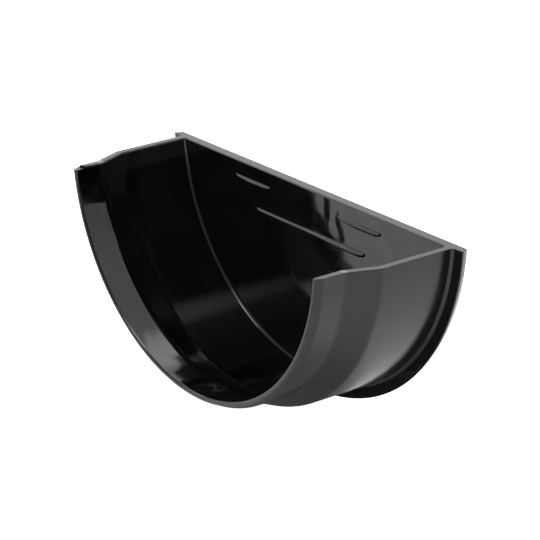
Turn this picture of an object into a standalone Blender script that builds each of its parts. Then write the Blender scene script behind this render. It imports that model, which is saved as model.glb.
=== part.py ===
"""Half-round gutter stop end, moulded in one piece of black plastic.

Metres, +Z up. The gutter's axis runs along Y: the open mouth faces -Y and the end
plate closes the cup at +Y. The shapes are made about the gutter's own axis and then
raised, so that the origin is under the middle of the part at the height of the flange's
lowest point.
"""

import math

import bmesh
import bpy
from mathutils import Matrix

# Cup
BODY_RADIUS = 0.0560
WALL = 0.0021
RIM_DROP = 0.0050
OVERALL_LENGTH = 0.0395

# Spigot at the mouth, and the taper that joins it to the body
SPIGOT_RADIUS = 0.0525
SPIGOT_LENGTH = 0.0079
TAPER_LENGTH = 0.0084
LEAD_IN_LENGTH = 0.0019
LEAD_IN_DEPTH = 0.0009

# End plate, whose edge stands out of the body as a flange and leans in to the back
PLATE_THICKNESS = 0.0028
FLANGE_THICKNESS = 0.0023
FLANGE_STAND = 0.0037
FLANGE_LEAN = 0.0012

# Rounds and fillets
INNER_FILLET = 0.0008
OUTER_FILLET = 0.0009
BEND_ROUND = 0.0030
LEAD_IN_ROUND = 0.0010
MOUTH_ROUND = 0.0006
FLANGE_ROUND = 0.00025
RIM_ROUND_INSIDE = 0.0004
RIM_ROUND_OUTSIDE = 0.00015

# Step in the rim at the mouth's left corner, whose end runs askew across the wall
STEP_DEPTH = 0.0004
STEP_LENGTH = 0.0023
STEP_SKEW = 0.0011

# Ledges on the inside of the end plate: reach is how far each stands out of the plate
LONG_LEDGE_LENGTH = 0.0440
LONG_LEDGE_MIDDLE = 0.0011
LONG_LEDGE_REACH = 0.0011
LONG_LEDGE_BELOW_RIM = 0.0109
LEFT_LEDGE_LENGTH = 0.0150
LEFT_LEDGE_MIDDLE = -0.0228
RIGHT_LEDGE_LENGTH = 0.0170
RIGHT_LEDGE_MIDDLE = 0.0208
SHORT_LEDGE_REACH = 0.0010
SHORT_LEDGE_BELOW_RIM = 0.0039
LEDGE_EMBED = 0.0006

# How steeply a ledge's top falls and its underside rises towards its edge
LEDGE_FALL = 0.38
LEDGE_RISE = 1.0

# A ledge's form from left to right: share of its length and share of its reach there
LONG_LEDGE_FORM = ((0.0, 0.3), (0.04, 0.65), (0.5, 0.72), (0.75, 0.95), (0.95, 1.0), (1.0, 0.6))
SHORT_LEDGE_FORM = ((0.0, 0.1), (0.12, 0.65), (0.45, 1.0), (0.9, 0.9), (1.0, 0.55))

# Finish
COLOUR = (0.012, 0.012, 0.013, 1.0)
ROUGHNESS = 0.16

# Fineness of the round stretches
ARC_STEPS = 80
ROUND_STEP_ANGLE = math.radians(22.5)
RIM_ROUND_STEPS = 3
SHARP_ANGLE = math.radians(30.0)

# How far the cutter reaches past what it cuts
CUTTER_MARGIN = 0.0040

FLANGE_RADIUS = BODY_RADIUS + FLANGE_STAND
FLANGE_BACK_RADIUS = FLANGE_RADIUS - FLANGE_LEAN
RIM_HEIGHT = -RIM_DROP
MOUTH_Y = -OVERALL_LENGTH / 2
BACK_Y = OVERALL_LENGTH / 2
PLATE_FRONT_Y = BACK_Y - PLATE_THICKNESS
FLANGE_FRONT_Y = BACK_Y - FLANGE_THICKNESS


def clear_scene():
    for item in list(bpy.data.objects):
        bpy.data.objects.remove(item, do_unlink=True)


def black_plastic():
    material = bpy.data.materials.new("black_plastic")
    material.use_nodes = True
    shader = material.node_tree.nodes["Principled BSDF"]
    shader.inputs["Base Color"].default_value = COLOUR
    shader.inputs["Roughness"].default_value = ROUGHNESS
    shader.inputs["Metallic"].default_value = 0.0
    return material


def outline_corners():
    """Corners of the wall's section as (y, radius, round, rim's round), from inside the plate to its back."""
    taper_start = MOUTH_Y + SPIGOT_LENGTH
    taper_end = taper_start + TAPER_LENGTH
    slope = math.atan2(BODY_RADIUS - SPIGOT_RADIUS, TAPER_LENGTH)
    shift = WALL * math.tan(slope / 2)
    inside = [
        (PLATE_FRONT_Y, BODY_RADIUS / 2, 0.0),
        (PLATE_FRONT_Y, BODY_RADIUS - WALL, INNER_FILLET),
        (taper_end + shift, BODY_RADIUS - WALL, BEND_ROUND),
        (taper_start + shift, SPIGOT_RADIUS - WALL, BEND_ROUND),
        (MOUTH_Y, SPIGOT_RADIUS - WALL, MOUTH_ROUND),
    ]
    outside = [
        (MOUTH_Y, SPIGOT_RADIUS - LEAD_IN_DEPTH, MOUTH_ROUND),
        (MOUTH_Y + LEAD_IN_LENGTH, SPIGOT_RADIUS, LEAD_IN_ROUND),
        (taper_start, SPIGOT_RADIUS, BEND_ROUND),
        (taper_end, BODY_RADIUS, BEND_ROUND),
        (FLANGE_FRONT_Y, BODY_RADIUS, OUTER_FILLET),
        (FLANGE_FRONT_Y, FLANGE_RADIUS, FLANGE_ROUND),
        (BACK_Y, FLANGE_BACK_RADIUS, FLANGE_ROUND),
        (BACK_Y, BODY_RADIUS / 2, 0.0),
    ]
    corners = [(*corner, RIM_ROUND_INSIDE) for corner in inside]
    corners += [(*corner, RIM_ROUND_OUTSIDE) for corner in outside]
    return corners


def heading(start, end):
    return math.atan2(end[1] - start[1], end[0] - start[0])


def rounded_corner(before, corner, after):
    """Points of the arc that rounds one corner, each with the direction of travel there."""
    incoming = heading(before, corner)
    turn = heading(corner, after) - incoming
    turn = (turn + math.pi) % (2 * math.pi) - math.pi
    side = math.copysign(1.0, turn)
    radius = corner[2]
    setback = radius * math.tan(abs(turn) / 2)
    first = (corner[0] - setback * math.cos(incoming), corner[1] - setback * math.sin(incoming))
    centre = (first[0] - side * radius * math.sin(incoming), first[1] + side * radius * math.cos(incoming))
    steps = max(2, math.ceil(abs(turn) / ROUND_STEP_ANGLE))
    points = []
    for step in range(steps + 1):
        angle = incoming + turn * step / steps
        y = centre[0] + side * radius * math.sin(angle)
        r = centre[1] - side * radius * math.cos(angle)
        points.append((y, r, angle))
    return points


def section_stations():
    """Stations (y, radius, normal y, normal r, rim's round) along the section, its flat ends left off."""
    corners = outline_corners()
    stations = []
    for before, corner, after in zip(corners, corners[1:], corners[2:]):
        for y, r, angle in rounded_corner(before, corner, after):
            stations.append((y, r, -math.sin(angle), math.cos(angle), corner[3]))
    return stations


def rim_point(station, lift, side):
    """Point of the rounded rim at an angle of lift above its tangent, on the side -1 or 1."""
    y, r, normal_y, normal_r, rim_round = station
    inset = rim_round * (1 - math.cos(lift))
    z = RIM_HEIGHT - rim_round + rim_round * math.sin(lift)
    radius = r - normal_r * inset
    x = math.sqrt(radius**2 - z**2)
    return (side * x, y - normal_y * inset, z)


def rib_of_points(station):
    """All points at one station, from the left rim's top round the bottom to the right rim's top."""
    y, r, *_, rim_round = station
    lifts = [math.pi / 2 * step / RIM_ROUND_STEPS for step in range(1, RIM_ROUND_STEPS + 1)]
    dip = math.asin((RIM_DROP + rim_round) / r)
    points = [rim_point(station, lift, -1) for lift in reversed(lifts)]
    for step in range(ARC_STEPS + 1):
        angle = math.pi + dip + (math.pi - 2 * dip) * step / ARC_STEPS
        points.append((r * math.cos(angle), y, r * math.sin(angle)))
    points += [rim_point(station, lift, 1) for lift in lifts]
    return points


def close_flat_end(mesh, row):
    """Fills a flat face of the plate and the round along its top edge."""
    last = len(row) - 1
    for step in range(RIM_ROUND_STEPS):
        mesh.faces.new((row[step], row[step + 1], row[last - step - 1], row[last - step]))
    mesh.faces.new(row[RIM_ROUND_STEPS : last - RIM_ROUND_STEPS + 1])


def cup_mesh():
    """The whole cup: wall, plate and flange as one closed half-round shell."""
    mesh = bmesh.new()
    rows = [[mesh.verts.new(point) for point in rib_of_points(station)] for station in section_stations()]
    for row, following in zip(rows, rows[1:]):
        for column in range(len(row) - 1):
            mesh.faces.new((row[column], row[column + 1], following[column + 1], following[column]))
    close_flat_end(mesh, rows[0])
    close_flat_end(mesh, rows[-1])
    mesh.faces.new([row[0] for row in rows] + [row[-1] for row in reversed(rows)])
    bmesh.ops.recalc_face_normals(mesh, faces=mesh.faces)
    return mesh


def prism_mesh(outline, low, high):
    """A closed prism over a plan outline of (x, y) points."""
    mesh = bmesh.new()
    base = mesh.faces.new([mesh.verts.new((x, y, low)) for x, y in outline])
    top = bmesh.ops.extrude_face_region(mesh, geom=[base])["geom"]
    raised = [item for item in top if isinstance(item, bmesh.types.BMVert)]
    bmesh.ops.translate(mesh, verts=raised, vec=(0, 0, high - low))
    bmesh.ops.recalc_face_normals(mesh, faces=mesh.faces)
    return mesh


def add_object(name, mesh):
    data = bpy.data.meshes.new(name)
    mesh.to_mesh(data)
    mesh.free()
    item = bpy.data.objects.new(name, data)
    bpy.context.scene.collection.objects.link(item)
    return item


def as_tool(item):
    item.hide_render = True
    item.display_type = "WIRE"
    return item


def apply_boolean(target, tool, operation):
    modifier = target.modifiers.new(f"{operation.lower()}_{tool.name}", "BOOLEAN")
    modifier.operation = operation
    modifier.solver = "EXACT"
    modifier.object = as_tool(tool)


def ledge_section(x, below_rim, reach):
    """Three-cornered section of a ledge: its edge, and the feet of its top and underside in the plate."""
    top = RIM_HEIGHT - below_rim
    back = PLATE_FRONT_Y + LEDGE_EMBED
    edge = top - LEDGE_FALL * reach
    return [
        (x, PLATE_FRONT_Y - reach, edge),
        (x, back, top + LEDGE_FALL * LEDGE_EMBED),
        (x, back, edge - LEDGE_RISE * (reach + LEDGE_EMBED)),
    ]


def ledge(name, middle, length, below_rim, reach, form):
    """A ledge whose reach changes along it as its form says."""
    mesh = bmesh.new()
    rings = []
    for along, share in form:
        section = ledge_section(middle + length * (along - 0.5), below_rim, reach * share)
        rings.append([mesh.verts.new(point) for point in section])
    for ring, following in zip(rings, rings[1:]):
        for first, second in ((0, 1), (1, 2), (2, 0)):
            mesh.faces.new((ring[first], ring[second], following[second], following[first]))
    mesh.faces.new(rings[0])
    mesh.faces.new(rings[-1])
    bmesh.ops.triangulate(mesh, faces=mesh.faces)
    bmesh.ops.recalc_face_normals(mesh, faces=mesh.faces)
    return add_object(name, mesh)


def ledges():
    long_part = (LONG_LEDGE_BELOW_RIM, LONG_LEDGE_REACH, LONG_LEDGE_FORM)
    short_part = (SHORT_LEDGE_BELOW_RIM, SHORT_LEDGE_REACH, SHORT_LEDGE_FORM)
    return [
        ledge("long_ledge", LONG_LEDGE_MIDDLE, LONG_LEDGE_LENGTH, *long_part),
        ledge("left_ledge", LEFT_LEDGE_MIDDLE, LEFT_LEDGE_LENGTH, *short_part),
        ledge("right_ledge", RIGHT_LEDGE_MIDDLE, RIGHT_LEDGE_LENGTH, *short_part),
    ]


def rim_step_cutter():
    """Takes the rim down at the mouth's left corner, further back inside than outside."""
    outer = -(SPIGOT_RADIUS + CUTTER_MARGIN)
    inner = -(SPIGOT_RADIUS - WALL - CUTTER_MARGIN)
    front = MOUTH_Y - CUTTER_MARGIN
    skew_rate = STEP_SKEW / WALL
    outline = [
        (outer, front),
        (inner, front),
        (inner, MOUTH_Y + STEP_LENGTH + skew_rate * (WALL + CUTTER_MARGIN)),
        (outer, MOUTH_Y + STEP_LENGTH - skew_rate * CUTTER_MARGIN),
    ]
    mesh = prism_mesh(outline, RIM_HEIGHT - STEP_DEPTH, RIM_HEIGHT + CUTTER_MARGIN)
    return add_object("rim_step_cutter", mesh)


def raise_to_base(items):
    """Moves the body and its tools up until the body's lowest point is at height zero."""
    lowest = min(vertex.co.z for vertex in items[0].data.vertices)
    for item in items:
        item.data.transform(Matrix.Translation((0, 0, -lowest)))


def stop_end():
    body = add_object("stop_end", cup_mesh())
    body.data.materials.append(black_plastic())
    body.data.shade_smooth()
    body.data.set_sharp_from_angle(angle=SHARP_ANGLE)
    raised_ledges = ledges()
    cutter = rim_step_cutter()
    for item in raised_ledges:
        apply_boolean(body, item, "UNION")
    apply_boolean(body, cutter, "DIFFERENCE")
    raise_to_base([body, cutter] + raised_ledges)


clear_scene()
stop_end()
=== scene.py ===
"""Looks of the half-round gutter stop end: a finely made shell in glossy black plastic.

Metres, +Z up, in the row's frame. The gutter's axis runs along Y: the open mouth faces
-Y and the end plate closes the cup at +Y. The shell is made about the gutter's own axis
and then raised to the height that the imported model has.
"""

import math

import bmesh
import bpy
from mathutils import Matrix, Vector


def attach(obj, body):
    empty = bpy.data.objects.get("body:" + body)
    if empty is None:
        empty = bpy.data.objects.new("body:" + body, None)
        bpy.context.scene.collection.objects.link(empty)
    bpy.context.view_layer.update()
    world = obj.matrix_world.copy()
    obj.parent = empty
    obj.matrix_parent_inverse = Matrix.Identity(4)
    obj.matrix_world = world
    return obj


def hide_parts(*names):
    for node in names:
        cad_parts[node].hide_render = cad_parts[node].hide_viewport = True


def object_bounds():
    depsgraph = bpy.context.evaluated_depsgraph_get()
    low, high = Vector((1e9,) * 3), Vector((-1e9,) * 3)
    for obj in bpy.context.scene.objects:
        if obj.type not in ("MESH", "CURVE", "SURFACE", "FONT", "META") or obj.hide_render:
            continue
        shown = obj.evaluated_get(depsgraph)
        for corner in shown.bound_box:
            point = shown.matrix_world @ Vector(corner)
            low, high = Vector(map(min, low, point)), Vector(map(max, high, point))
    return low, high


# Cup, spigot and taper
BODY_RADIUS = 0.0560
WALL = 0.0021
RIM_DROP = 0.0050
OVERALL_LENGTH = 0.0395
SPIGOT_RADIUS = 0.0525
SPIGOT_LENGTH = 0.0079
TAPER_LENGTH = 0.0084
LEAD_IN_LENGTH = 0.0019
LEAD_IN_DEPTH = 0.0009

# End plate and its flange
PLATE_THICKNESS = 0.0028
FLANGE_THICKNESS = 0.0023
FLANGE_STAND = 0.0037
FLANGE_LEAN = 0.0012

# Rounds and fillets
INNER_FILLET = 0.0008
OUTER_FILLET = 0.0009
BEND_ROUND = 0.0030
LEAD_IN_ROUND = 0.0010
MOUTH_ROUND = 0.0006
FLANGE_ROUND = 0.00025
RIM_ROUND_INSIDE = 0.0004
RIM_ROUND_OUTSIDE = 0.00015

# Step in the rim at the mouth's left corner
STEP_DEPTH = 0.0004
STEP_LENGTH = 0.0023
STEP_SKEW = 0.0011

# A ledge's form from left to right: share of its length and share of its reach there
LONG_LEDGE_FORM = ((0.0, 0.3), (0.04, 0.65), (0.5, 0.72), (0.75, 0.95), (0.95, 1.0), (1.0, 0.6))
SHORT_LEDGE_FORM = ((0.0, 0.1), (0.12, 0.65), (0.45, 1.0), (0.9, 0.9), (1.0, 0.55))

# Ledges on the inside of the end plate: name, middle, length, distance below the rim, reach, form
LEDGES = (
    ("long_ledge", 0.0011, 0.0440, 0.0109, 0.0011, LONG_LEDGE_FORM),
    ("left_ledge", -0.0228, 0.0150, 0.0039, 0.0010, SHORT_LEDGE_FORM),
    ("right_ledge", 0.0208, 0.0170, 0.0039, 0.0010, SHORT_LEDGE_FORM),
)
LEDGE_EMBED = 0.0006

# How steeply a ledge's top falls and its underside rises towards its edge
LEDGE_FALL = 0.38
LEDGE_RISE = 1.0

# Fineness of the mesh, and how close a supporting row lies to a rounded stretch
ARC_STEPS = 256
ROUND_STEP_ANGLE = math.radians(8.0)
RIM_ROUND_STEPS = 5
SUPPORT = 0.00004
CUTTER_MARGIN = 0.0040

# A face whose normal is this close to an axis is a flat one
FLAT_NORMAL = 0.99999

# Photograph's camera: where it stands from its aim, its roll, and its aim from the mouth's centre
CAMERA_AZIMUTH = math.radians(53.90)
CAMERA_ELEVATION = math.radians(21.13)
CAMERA_DISTANCE = 0.5895
CAMERA_ROLL = math.radians(-1.22)
CAMERA_AIM = Vector((0.00682, 0.01993, -0.02085))
CAMERA_LENS = 158.90
CAMERA_SENSOR = 36.0
CAMERA_NEAREST = 0.01
CAMERA_FURTHEST = 20.0

# Floor of matt paper, plain white to the camera
FLOOR_HALF_SIDE = 3.0
FLOOR_COLOUR = (0.9, 0.9, 0.9, 1.0)
FLOOR_ROUGHNESS = 0.9
WHITE = (1.0, 1.0, 1.0, 1.0)

# Studio: level all round, and patches of azimuth, elevation, half angle, softness (degrees) and strength
STUDIO_LEVEL = 1.36
STUDIO_PATCHES = (
    (55.0, 12.0, 47.0, 25.0, -0.95),
    (-132.0, 64.5, 14.5, 8.0, 1.6),
    (12.5, 63.0, 2.2, 7.0, 5.5),
    (-54.0, 53.0, 3.0, 30.0, -1.0),
    (-100.0, 39.0, 10.0, 10.0, 0.5),
    (-77.0, 39.0, 6.0, 7.0, 2.6),
    (0.0, 90.0, 7.0, 5.0, 10.0),
)

# Plastic: colours of clean and hazed places, least and greatest roughness
PLASTIC_DARK = (0.0008, 0.0008, 0.0009, 1.0)
PLASTIC_HAZE = (0.0026, 0.0026, 0.0028, 1.0)
INSIDE_ROUGHNESS = (0.06, 0.11)
OUTSIDE_ROUGHNESS = (0.17, 0.25)

# Its noises: features per metre, detail and warp
HAZE_NOISE = (75.0, 3.0, 0.6)
INSIDE_NOISE = (160.0, 4.0, 1.2)
OUTSIDE_NOISE = (160.0, 4.0, 0.4)
WAVE_NOISE = (50.0, 2.3, 0.5)
GRAIN_NOISE = (1400.0, 3.0, 0.0)

# The stretch of each noise's values that is spread over what it drives
HAZE_SPREAD = (0.35, 0.7)
ROUGHNESS_SPREAD = (0.3, 0.75)

# Heights of the surface's waves and grain
WAVE_HEIGHT = 0.0007
GRAIN_HEIGHT = 0.0000015

# Waves on the plate grow from their calm share to their whole height over this reach to its upper right
UPPER_RIGHT = (1.0, 0.0, 1.0)
PLATE_WAVE_REACH = (0.030, 0.046)
CALM_SHARE = 0.04

# Waves in the mouth's band grow from nothing to this share over this reach towards the mouth
MOUTH_WARD = (0.0, -1.0, 0.0)
MOUTH_WAVE_REACH = (0.0105, 0.0125)
MOUTH_WAVE_SHARE = 0.9

# How far a face turns outward before it is the wall's outside, and to the mouth before it is the plate
OUTSIDE_TURN = (0.2, 0.6)
PLATE_TURN = (0.5, 0.98)
NONE_TO_ALL = (0.0, 1.0)

# Colour sockets of a Mix node, which share their names with its number sockets
MIX_COLOUR_A = 6
MIX_COLOUR_B = 7
MIX_COLOUR_RESULT = 2

FLANGE_RADIUS = BODY_RADIUS + FLANGE_STAND
FLANGE_BACK_RADIUS = FLANGE_RADIUS - FLANGE_LEAN
MOUTH_Y = -OVERALL_LENGTH / 2
BACK_Y = OVERALL_LENGTH / 2
PLATE_FRONT_Y = BACK_Y - PLATE_THICKNESS
FLANGE_FRONT_Y = BACK_Y - FLANGE_THICKNESS
RIM_HEIGHT = -RIM_DROP

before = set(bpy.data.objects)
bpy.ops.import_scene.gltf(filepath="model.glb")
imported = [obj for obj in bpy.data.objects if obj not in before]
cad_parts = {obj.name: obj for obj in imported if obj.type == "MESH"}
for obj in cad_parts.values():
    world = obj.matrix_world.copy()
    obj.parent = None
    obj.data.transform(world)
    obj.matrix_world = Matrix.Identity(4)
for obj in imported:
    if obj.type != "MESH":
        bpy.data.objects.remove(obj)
cad_low, cad_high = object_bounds()
axis_height = cad_high.z + RIM_DROP


def outline_corners():
    """The section's corners (y, radius, round, rim's round), from the plate's inside to its back."""
    taper_start = MOUTH_Y + SPIGOT_LENGTH
    taper_end = taper_start + TAPER_LENGTH
    slope = math.atan2(BODY_RADIUS - SPIGOT_RADIUS, TAPER_LENGTH)
    shift = WALL * math.tan(slope / 2)
    inside = [
        (PLATE_FRONT_Y, BODY_RADIUS / 2, 0.0),
        (PLATE_FRONT_Y, BODY_RADIUS - WALL, INNER_FILLET),
        (taper_end + shift, BODY_RADIUS - WALL, BEND_ROUND),
        (taper_start + shift, SPIGOT_RADIUS - WALL, BEND_ROUND),
        (MOUTH_Y, SPIGOT_RADIUS - WALL, MOUTH_ROUND),
    ]
    outside = [
        (MOUTH_Y, SPIGOT_RADIUS - LEAD_IN_DEPTH, MOUTH_ROUND),
        (MOUTH_Y + LEAD_IN_LENGTH, SPIGOT_RADIUS, LEAD_IN_ROUND),
        (taper_start, SPIGOT_RADIUS, BEND_ROUND),
        (taper_end, BODY_RADIUS, BEND_ROUND),
        (FLANGE_FRONT_Y, BODY_RADIUS, OUTER_FILLET),
        (FLANGE_FRONT_Y, FLANGE_RADIUS, FLANGE_ROUND),
        (BACK_Y, FLANGE_BACK_RADIUS, FLANGE_ROUND),
        (BACK_Y, BODY_RADIUS / 2, 0.0),
    ]
    corners = [(*corner, RIM_ROUND_INSIDE) for corner in inside]
    corners += [(*corner, RIM_ROUND_OUTSIDE) for corner in outside]
    return corners


def heading(start, end):
    return math.atan2(end[1] - start[1], end[0] - start[0])


def rounded_corner(before, corner, after):
    """Points (y, r, heading) of the arc that rounds one corner, with a supporting point at each end."""
    incoming = heading(before, corner)
    outgoing = heading(corner, after)
    turn = (outgoing - incoming + math.pi) % (2 * math.pi) - math.pi
    side = math.copysign(1.0, turn)
    radius = corner[2]
    setback = radius * math.tan(abs(turn) / 2)
    along = (math.cos(incoming), math.sin(incoming))
    away = (math.cos(outgoing), math.sin(outgoing))
    first = (corner[0] - setback * along[0], corner[1] - setback * along[1])
    centre = (first[0] - side * radius * along[1], first[1] + side * radius * along[0])
    steps = max(2, math.ceil(abs(turn) / ROUND_STEP_ANGLE))
    points = [(first[0] - SUPPORT * along[0], first[1] - SUPPORT * along[1], incoming)]
    for step in range(steps + 1):
        angle = incoming + turn * step / steps
        y = centre[0] + side * radius * math.sin(angle)
        r = centre[1] - side * radius * math.cos(angle)
        points.append((y, r, angle))
    last = points[-1]
    points.append((last[0] + SUPPORT * away[0], last[1] + SUPPORT * away[1], outgoing))
    return points


def section_stations():
    """Stations (y, radius, normal y, normal r, rim's round) along the section, its flat ends left off."""
    corners = outline_corners()
    stations = []
    for before, corner, after in zip(corners, corners[1:], corners[2:]):
        for y, r, angle in rounded_corner(before, corner, after):
            stations.append((y, r, -math.sin(angle), math.cos(angle), corner[3]))
    return stations


def rim_point(station, inset, z, side):
    """Point of the rim at height z, moved in from the wall's surface, on the side -1 or 1."""
    y, r, normal_y, normal_r, _ = station
    radius = r - normal_r * inset
    return (side * math.sqrt(radius**2 - z**2), y - normal_y * inset, z)


def rim_profile(rim_round):
    """(inset, height) of the rounded rim, from its foot to just past its top edge."""
    profile = []
    for step in range(1, RIM_ROUND_STEPS + 1):
        lift = math.pi / 2 * step / RIM_ROUND_STEPS
        profile.append((rim_round * (1 - math.cos(lift)), RIM_HEIGHT - rim_round * (1 - math.sin(lift))))
    profile.append((rim_round + SUPPORT, RIM_HEIGHT))
    return profile


def rib_of_points(station):
    """All points at one station, from the left rim's top round the bottom to the right rim's top."""
    y, r, *_, rim_round = station
    dip = math.asin((RIM_DROP + rim_round) / r)
    span = math.pi - 2 * dip
    turns = [step / ARC_STEPS for step in range(ARC_STEPS + 1)]
    close = SUPPORT / (r * span)
    turns = [0.0, close] + turns[1:-1] + [1.0 - close, 1.0]
    points = [rim_point(station, inset, z, -1) for inset, z in reversed(rim_profile(rim_round))]
    for turn in turns:
        angle = math.pi + dip + span * turn
        points.append((r * math.cos(angle), y, r * math.sin(angle)))
    points += [rim_point(station, inset, z, 1) for inset, z in rim_profile(rim_round)]
    return points


def close_flat_end(mesh, row):
    """Fills a flat face of the plate and the round along its top edge."""
    last = len(row) - 1
    rounded = RIM_ROUND_STEPS + 2
    for step in range(rounded):
        mesh.faces.new((row[step], row[step + 1], row[last - step - 1], row[last - step]))
    mesh.faces.new(row[rounded : last - rounded + 1])


def shell_mesh():
    """The whole cup: wall, plate and flange as one closed half-round shell."""
    mesh = bmesh.new()
    rows = [[mesh.verts.new(point) for point in rib_of_points(station)] for station in section_stations()]
    for row, following in zip(rows, rows[1:]):
        for column in range(len(row) - 1):
            mesh.faces.new((row[column], row[column + 1], following[column + 1], following[column]))
    close_flat_end(mesh, rows[0])
    close_flat_end(mesh, rows[-1])
    mesh.faces.new([row[0] for row in rows] + [row[-1] for row in reversed(rows)])
    bmesh.ops.recalc_face_normals(mesh, faces=mesh.faces)
    for face in mesh.faces:
        face.smooth = True
    return mesh


def prism_mesh(outline, low, high):
    """A closed prism over a plan outline of (x, y) points."""
    mesh = bmesh.new()
    base = mesh.faces.new([mesh.verts.new((x, y, low)) for x, y in outline])
    top = bmesh.ops.extrude_face_region(mesh, geom=[base])["geom"]
    raised = [item for item in top if isinstance(item, bmesh.types.BMVert)]
    bmesh.ops.translate(mesh, verts=raised, vec=(0, 0, high - low))
    bmesh.ops.recalc_face_normals(mesh, faces=mesh.faces)
    return mesh


def add_object(name, mesh):
    data = bpy.data.meshes.new(name)
    mesh.to_mesh(data)
    mesh.free()
    item = bpy.data.objects.new(name, data)
    bpy.context.scene.collection.objects.link(item)
    return item


def ledge_section(x, below_rim, reach):
    """Three-cornered section of a ledge: its edge, and the feet of its top and underside in the plate."""
    top = RIM_HEIGHT - below_rim
    back = PLATE_FRONT_Y + LEDGE_EMBED
    edge = top - LEDGE_FALL * reach
    return [
        (x, PLATE_FRONT_Y - reach, edge),
        (x, back, top + LEDGE_FALL * LEDGE_EMBED),
        (x, back, edge - LEDGE_RISE * (reach + LEDGE_EMBED)),
    ]


def ledge(name, middle, length, below_rim, reach, form):
    """A ledge whose reach changes along it as its form says."""
    mesh = bmesh.new()
    rings = []
    for along, share in form:
        section = ledge_section(middle + length * (along - 0.5), below_rim, reach * share)
        rings.append([mesh.verts.new(point) for point in section])
    for ring, following in zip(rings, rings[1:]):
        for first, second in ((0, 1), (1, 2), (2, 0)):
            mesh.faces.new((ring[first], ring[second], following[second], following[first]))
    mesh.faces.new(rings[0])
    mesh.faces.new(rings[-1])
    bmesh.ops.triangulate(mesh, faces=mesh.faces)
    bmesh.ops.recalc_face_normals(mesh, faces=mesh.faces)
    return add_object(name, mesh)


def rim_step_cutter():
    """Takes the rim down at the mouth's left corner, further back inside than outside."""
    outer = -(SPIGOT_RADIUS + CUTTER_MARGIN)
    inner = -(SPIGOT_RADIUS - WALL - CUTTER_MARGIN)
    front = MOUTH_Y - CUTTER_MARGIN
    skew_rate = STEP_SKEW / WALL
    outline = [
        (outer, front),
        (inner, front),
        (inner, MOUTH_Y + STEP_LENGTH + skew_rate * (WALL + CUTTER_MARGIN)),
        (outer, MOUTH_Y + STEP_LENGTH - skew_rate * CUTTER_MARGIN),
    ]
    mesh = prism_mesh(outline, RIM_HEIGHT - STEP_DEPTH, RIM_HEIGHT + CUTTER_MARGIN)
    return add_object("rim_step_cutter", mesh)


def combine(target, tools):
    """Applies each tool to the target as a Boolean, keeps flat faces flat, and deletes the tools."""
    for tool, operation in tools:
        modifier = target.modifiers.new(tool.name, "BOOLEAN")
        modifier.operation = operation
        modifier.solver = "EXACT"
        modifier.object = tool
    result = target.evaluated_get(bpy.context.evaluated_depsgraph_get())
    mesh = bpy.data.meshes.new_from_object(result)
    for face in mesh.polygons:
        if max(abs(part) for part in face.normal) > FLAT_NORMAL:
            face.use_smooth = False
    target.modifiers.clear()
    plain = target.data
    target.data = mesh
    bpy.data.meshes.remove(plain)
    for tool, _ in tools:
        bpy.data.objects.remove(tool, do_unlink=True)


def stop_end_shell():
    """The dressed part: the shell with its ledges and the step in its rim."""
    shell = add_object("stop_end_shell", shell_mesh())
    tools = [(ledge(*row), "UNION") for row in LEDGES]
    tools.append((rim_step_cutter(), "DIFFERENCE"))
    combine(shell, tools)
    shell.data.transform(Matrix.Translation((0, 0, axis_height)))
    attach(shell, "root")
    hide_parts("stop_end")
    return shell


def direction(azimuth, elevation):
    """Unit vector towards a place seen at that azimuth from -Y, and that elevation."""
    return Vector((
        math.sin(azimuth) * math.cos(elevation),
        -math.cos(azimuth) * math.cos(elevation),
        math.sin(elevation),
    ))


def photograph_camera():
    """The camera at the photograph's place, as fitted to the part's outline."""
    back = direction(CAMERA_AZIMUTH, CAMERA_ELEVATION)
    level_right = Vector((math.cos(CAMERA_AZIMUTH), math.sin(CAMERA_AZIMUTH), 0.0))
    level_up = back.cross(level_right)
    right = level_right * math.cos(CAMERA_ROLL) + level_up * math.sin(CAMERA_ROLL)
    up = back.cross(right)
    data = bpy.data.cameras.new("photograph")
    data.lens = CAMERA_LENS
    data.sensor_width = CAMERA_SENSOR
    data.clip_start = CAMERA_NEAREST
    data.clip_end = CAMERA_FURTHEST
    camera = bpy.data.objects.new("photograph", data)
    turn = Matrix((right, up, back)).transposed().to_4x4()
    mouth_centre = Vector((0.0, MOUTH_Y, axis_height))
    camera.matrix_world = Matrix.Translation(mouth_centre + CAMERA_AIM + back * CAMERA_DISTANCE) @ turn
    bpy.context.scene.collection.objects.link(camera)
    bpy.context.scene.camera = camera


def white_paper():
    """Matt paper that reflects the studio, and is plain white where the camera looks at it."""
    material = bpy.data.materials.new("white_paper")
    material.use_nodes = True
    tree = material.node_tree
    shader = tree.nodes["Principled BSDF"]
    shader.inputs["Base Color"].default_value = FLOOR_COLOUR
    shader.inputs["Roughness"].default_value = FLOOR_ROUGHNESS
    shader.inputs["Specular IOR Level"].default_value = 0.0
    shader.inputs["Emission Color"].default_value = WHITE
    seen = tree.nodes.new("ShaderNodeLightPath")
    tree.links.new(seen.outputs["Is Camera Ray"], shader.inputs["Emission Strength"])
    return material


def pale_floor():
    mesh = bmesh.new()
    half = FLOOR_HALF_SIDE
    corners = ((-half, -half), (half, -half), (half, half), (-half, half))
    mesh.faces.new([mesh.verts.new((x, y, 0.0)) for x, y in corners])
    floor = add_object("floor", mesh)
    floor.data.materials.append(white_paper())


def feed(tree, socket, value):
    """Gives a socket another node's output, or a number or vector of its own."""
    if isinstance(value, bpy.types.NodeSocket):
        tree.links.new(value, socket)
    else:
        socket.default_value = value


def combined(tree, operation, first, second):
    """The outcome of one sum on two values."""
    result = tree.nodes.new("ShaderNodeMath")
    result.operation = operation
    feed(tree, result.inputs[0], first)
    feed(tree, result.inputs[1], second)
    return result.outputs["Value"]


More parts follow.
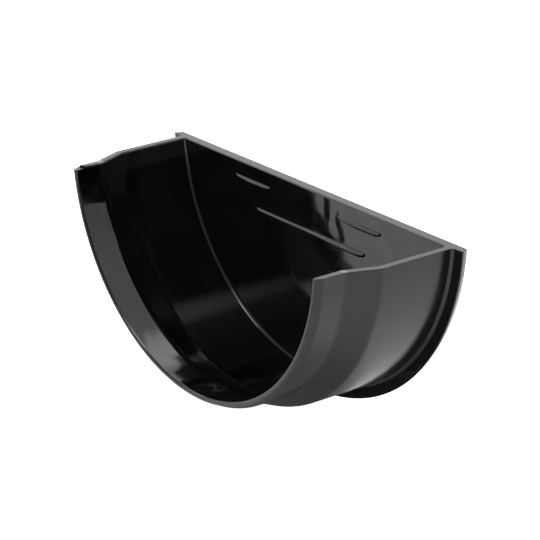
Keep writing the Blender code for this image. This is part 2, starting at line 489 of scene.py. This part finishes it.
def reach_along(tree, vector, way):
    """How far a vector reaches along another one."""
    product = tree.nodes.new("ShaderNodeVectorMath")
    product.operation = "DOT_PRODUCT"
    feed(tree, product.inputs[0], vector)
    feed(tree, product.inputs[1], way)
    return product.outputs["Value"]


def mixed(tree, share, first, second):
    """A number that goes from the first value to the second as the share goes from 0 to 1."""
    mix = tree.nodes.new("ShaderNodeMix")
    feed(tree, mix.inputs["Factor"], share)
    feed(tree, mix.inputs["A"], first)
    feed(tree, mix.inputs["B"], second)
    return mix.outputs["Result"]


def mapped(tree, value, source, target, ease="SMOOTHSTEP"):
    """The value carried from one range to another, as a smooth step between their ends."""
    step = tree.nodes.new("ShaderNodeMapRange")
    step.interpolation_type = ease
    for name, limit in zip(("From Min", "From Max", "To Min", "To Max"), source + target):
        step.inputs[name].default_value = limit
    tree.links.new(value, step.inputs["Value"])
    return step.outputs["Result"]


def soft_patch(tree, azimuth, elevation, half_angle, softness, strength):
    """Strength inside a round patch of the sky about one direction, fading to nothing round it."""
    sky = tree.nodes.new("ShaderNodeTexCoord").outputs["Generated"]
    nearness = reach_along(tree, sky, direction(azimuth, elevation))
    edge = (math.cos(half_angle + softness), math.cos(half_angle))
    return mapped(tree, nearness, edge, (0.0, strength), "SMOOTHERSTEP")


def studio_light(tree):
    """The studio's level with its patches added to it."""
    light = STUDIO_LEVEL
    for *angles, strength in STUDIO_PATCHES:
        patch = soft_patch(tree, *[math.radians(angle) for angle in angles], strength)
        light = combined(tree, "ADD", light, patch)
    return light


def soft_studio():
    """White all round, with soft lamps and a dim side, and plain white where the camera looks at it."""
    world = bpy.data.worlds.new("studio")
    world.use_nodes = True
    tree = world.node_tree
    background = tree.nodes["Background"]
    background.inputs["Color"].default_value = WHITE
    seen = tree.nodes.new("ShaderNodeLightPath").outputs["Is Camera Ray"]
    tree.links.new(mixed(tree, seen, studio_light(tree), 1.0), background.inputs["Strength"])
    bpy.context.scene.world = world
    bpy.context.scene.view_settings.view_transform = "Standard"


def noise(tree, place, scale, detail, warp):
    """A noise texture over the part: its scale is in features per metre."""
    texture = tree.nodes.new("ShaderNodeTexNoise")
    texture.inputs["Scale"].default_value = scale
    texture.inputs["Detail"].default_value = detail
    texture.inputs["Distortion"].default_value = warp
    tree.links.new(place, texture.inputs["Vector"])
    return texture.outputs["Fac"]


def surface_normal(tree):
    return tree.nodes.new("ShaderNodeNewGeometry").outputs["Normal"]


def outward(tree, place):
    """1 on the outside of the wall, and 0 inside it and on the plate's flat faces."""
    across_axis = (1.0, 0.0, 1.0)
    spoke = tree.nodes.new("ShaderNodeVectorMath")
    spoke.operation = "MULTIPLY_ADD"
    spoke.inputs[1].default_value = across_axis
    spoke.inputs[2].default_value = (0.0, 0.0, -axis_height)
    tree.links.new(place, spoke.inputs[0])
    unit = tree.nodes.new("ShaderNodeVectorMath")
    unit.operation = "NORMALIZE"
    tree.links.new(spoke.outputs["Vector"], unit.inputs[0])
    turn = reach_along(tree, unit.outputs["Vector"], surface_normal(tree))
    return mapped(tree, turn, OUTSIDE_TURN, NONE_TO_ALL)


def wave_share(tree, place):
    """Share of the waves' height: most to the upper right of the plate, some near the mouth."""
    on_plate = mapped(tree, reach_along(tree, surface_normal(tree), MOUTH_WARD), PLATE_TURN, NONE_TO_ALL)
    upper_right = mapped(tree, reach_along(tree, place, UPPER_RIGHT), PLATE_WAVE_REACH, (CALM_SHARE, 1.0))
    plate = combined(tree, "MULTIPLY", on_plate, upper_right)
    mouth = mapped(tree, reach_along(tree, place, MOUTH_WARD), MOUTH_WAVE_REACH, (0.0, MOUTH_WAVE_SHARE))
    return combined(tree, "MAXIMUM", plate, mouth)


def bumped(tree, height, distance, below):
    """A bump of that height in metres, laid over the bump below it."""
    bump = tree.nodes.new("ShaderNodeBump")
    bump.inputs["Strength"].default_value = 1.0
    bump.inputs["Distance"].default_value = distance
    tree.links.new(height, bump.inputs["Height"])
    if below:
        tree.links.new(below, bump.inputs["Normal"])
    return bump.outputs["Normal"]


def hazed_black(tree, place):
    """Colour: near black, with faint paler clouds."""
    clouds = mapped(tree, noise(tree, place, *HAZE_NOISE), HAZE_SPREAD, NONE_TO_ALL)
    haze = tree.nodes.new("ShaderNodeMix")
    haze.data_type = "RGBA"
    haze.inputs[MIX_COLOUR_A].default_value = PLASTIC_DARK
    haze.inputs[MIX_COLOUR_B].default_value = PLASTIC_HAZE
    tree.links.new(clouds, haze.inputs["Factor"])
    return haze.outputs[MIX_COLOUR_RESULT]


def uneven_gloss(tree, place):
    """Roughness: less inside the cup than outside, and smeared on both."""
    inside = mapped(tree, noise(tree, place, *INSIDE_NOISE), ROUGHNESS_SPREAD, INSIDE_ROUGHNESS)
    outside = mapped(tree, noise(tree, place, *OUTSIDE_NOISE), ROUGHNESS_SPREAD, OUTSIDE_ROUGHNESS)
    return mixed(tree, outward(tree, place), inside, outside)


def uneven_surface(tree, place):
    """Normal: slow waves of the moulding under a fine grain."""
    swell = combined(tree, "MULTIPLY", noise(tree, place, *WAVE_NOISE), wave_share(tree, place))
    waves = bumped(tree, swell, WAVE_HEIGHT, None)
    return bumped(tree, noise(tree, place, *GRAIN_NOISE), GRAIN_HEIGHT, waves)


def black_plastic():
    """Glossy black moulding, a little hazed and gently uneven."""
    material = bpy.data.materials.new("black_plastic")
    material.use_nodes = True
    tree = material.node_tree
    shader = tree.nodes["Principled BSDF"]
    place = tree.nodes.new("ShaderNodeTexCoord").outputs["Object"]
    tree.links.new(hazed_black(tree, place), shader.inputs["Base Color"])
    tree.links.new(uneven_gloss(tree, place), shader.inputs["Roughness"])
    tree.links.new(uneven_surface(tree, place), shader.inputs["Normal"])
    return material


shell = stop_end_shell()
shell.data.materials.append(black_plastic())
photograph_camera()
pale_floor()
soft_studio()
